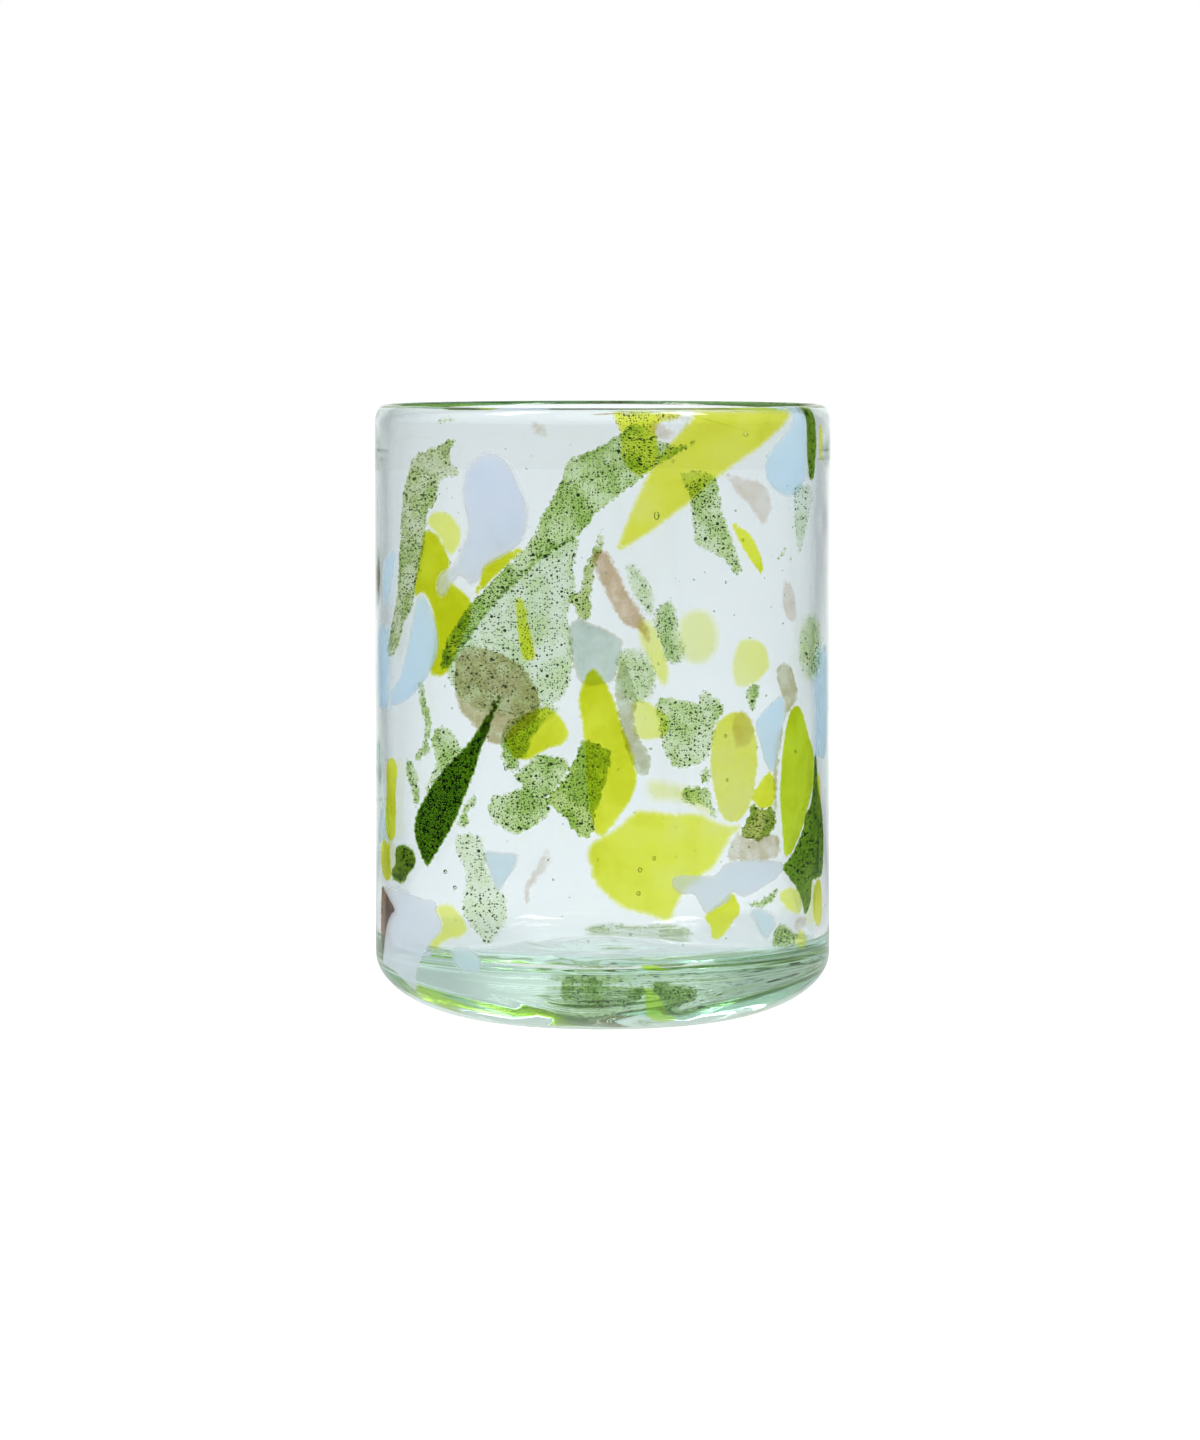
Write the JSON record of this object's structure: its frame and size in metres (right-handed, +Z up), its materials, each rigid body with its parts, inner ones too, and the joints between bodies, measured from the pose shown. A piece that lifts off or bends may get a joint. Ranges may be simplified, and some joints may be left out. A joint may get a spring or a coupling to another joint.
{
  "type": "glass tumbler",
  "caption": "Straight-sided hand-blown glass tumbler with a rounded heel, thick base and coloured glass chips fused flush in its clear wall.",
  "frame": {"origin": "centre of the foot's flat ring, on the surface the glass stands on", "axes": "+Z up through the mouth, -Y towards the front seen in the picture, +X to its right"},
  "size_m": [0.076, 0.076, 0.1024],
  "materials": {
    "clear_glass": "clear hand-blown glass, fire-polished, with small bubbles",
    "speckled_green_glass": "translucent grey-green glass with near-black specks",
    "dark_green_glass": "deep green glass with near-black specks",
    "lime_glass": "translucent lime-yellow glass",
    "sky_glass": "milky pale-blue opal glass",
    "taupe_glass": "translucent grey-brown glass"
  },
  "bodies": {
    "root": {"tumbler_body": "clear_glass", "moss_leaf": "speckled_green_glass", "moss_sash": "speckled_green_glass", "moss_veil": "speckled_green_glass", "moss_needle": "speckled_green_glass", "moss_flag": "speckled_green_glass", "moss_fang": "speckled_green_glass", "moss_wedge": "speckled_green_glass", "moss_blob": "speckled_green_glass", "moss_saddle": "speckled_green_glass", "moss_crate": "speckled_green_glass", "moss_fin": "speckled_green_glass", "moss_trail": "speckled_green_glass", "moss_mist": "speckled_green_glass", "moss_nugget": "speckled_green_glass", "moss_heel": "speckled_green_glass", "back_moss_heel": "speckled_green_glass", "back_moss_chunk": "speckled_green_glass", "back_moss_drift": "speckled_green_glass", "moss_crumbs": "speckled_green_glass", "dark_lens": "dark_green_glass", "dark_cliff": "dark_green_glass", "dark_rim_shard": "dark_green_glass", "dark_patch": "dark_green_glass", "lime_sail": "lime_glass", "lime_triangle": "lime_glass", "lime_bar": "lime_glass", "lime_blob": "lime_glass", "lime_blade": "lime_glass", "lime_slab": "lime_glass", "lime_comet": "lime_glass", "lime_rim_patch": "lime_glass", "lime_sliver": "lime_glass", "lime_petal": "lime_glass", "lime_leaf": "lime_glass", "lime_crust": "lime_glass", "lime_tooth": "lime_glass", "lime_edge_left": "lime_glass", "lime_edge_right": "lime_glass", "lime_heel_leaf": "lime_glass", "back_lime_sliver": "lime_glass", "back_lime_cloud": "lime_glass", "back_lime_chunk": "lime_glass", "lime_crumbs": "lime_glass", "sky_teardrop": "sky_glass", "sky_drop": "sky_glass", "sky_shard": "sky_glass", "sky_wings": "sky_glass", "sky_plate": "sky_glass", "sky_lens": "sky_glass", "sky_edge_left": "sky_glass", "sky_edge_right": "sky_glass", "sky_crumbs": "sky_glass", "taupe_slab": "taupe_glass", "taupe_sliver": "taupe_glass", "taupe_strip": "taupe_glass", "taupe_ribbon": "taupe_glass", "taupe_bar": "taupe_glass", "grey_cobble": "taupe_glass", "amber_wedge": "taupe_glass", "back_taupe_sliver": "taupe_glass", "taupe_crumbs": "taupe_glass"}
  },
  "joints": []
}
